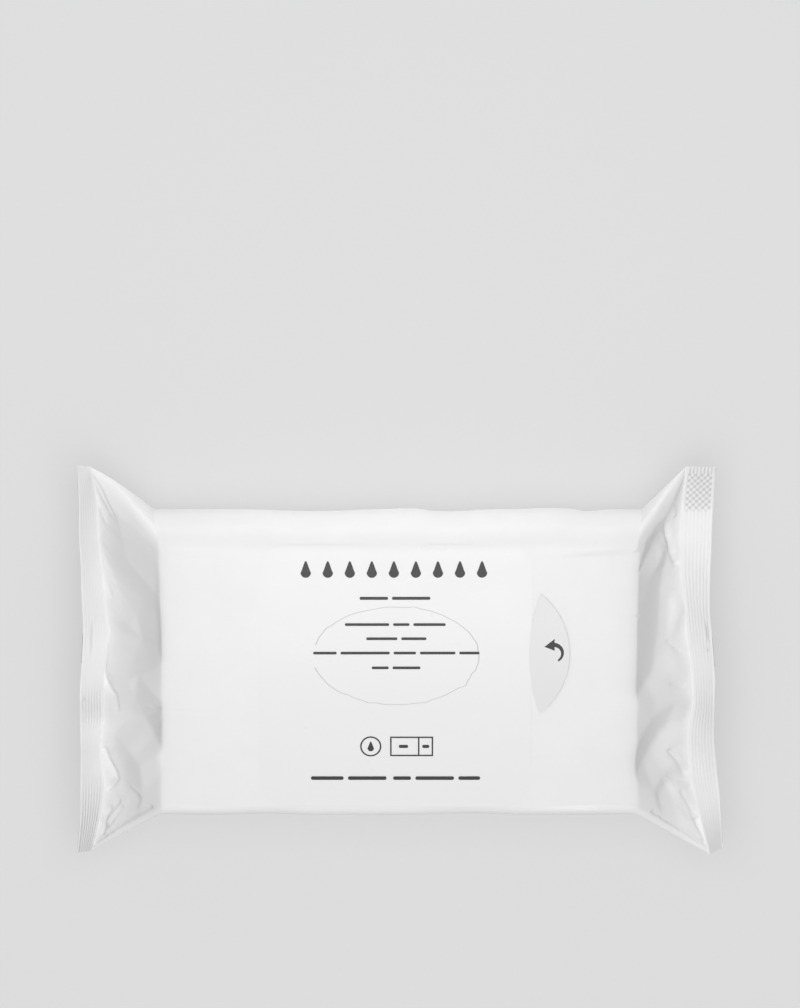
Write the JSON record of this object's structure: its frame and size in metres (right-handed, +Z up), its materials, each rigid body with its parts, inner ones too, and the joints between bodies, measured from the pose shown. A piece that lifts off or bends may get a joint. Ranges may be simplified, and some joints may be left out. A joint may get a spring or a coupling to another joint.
{
  "type": "wet wipes pack",
  "caption": "Flow-wrapped film pack of wet wipes, crimped across both ends, lying on its back with a peel-open reseal label and finger tab on its face.",
  "frame": {"origin": "on the surface that the pack lies on, below the middle of its outer box", "axes": "+X along the pack from one crimped end seal to the other, towards the label's finger tab; +Y across it, towards the side that the artwork treats as its top; +Z up, out of the label's face"},
  "size_m": [0.2385, 0.1494, 0.0436],
  "materials": {
    "film": "white printed film with a satin sheen, creased at the ends and crimped at both seals",
    "label": "clear film label with a soft gloss, tinted light grey at its finger tab"
  },
  "bodies": {
    "root": {"film_pack": "film", "reseal_label": "label"}
  },
  "joints": []
}
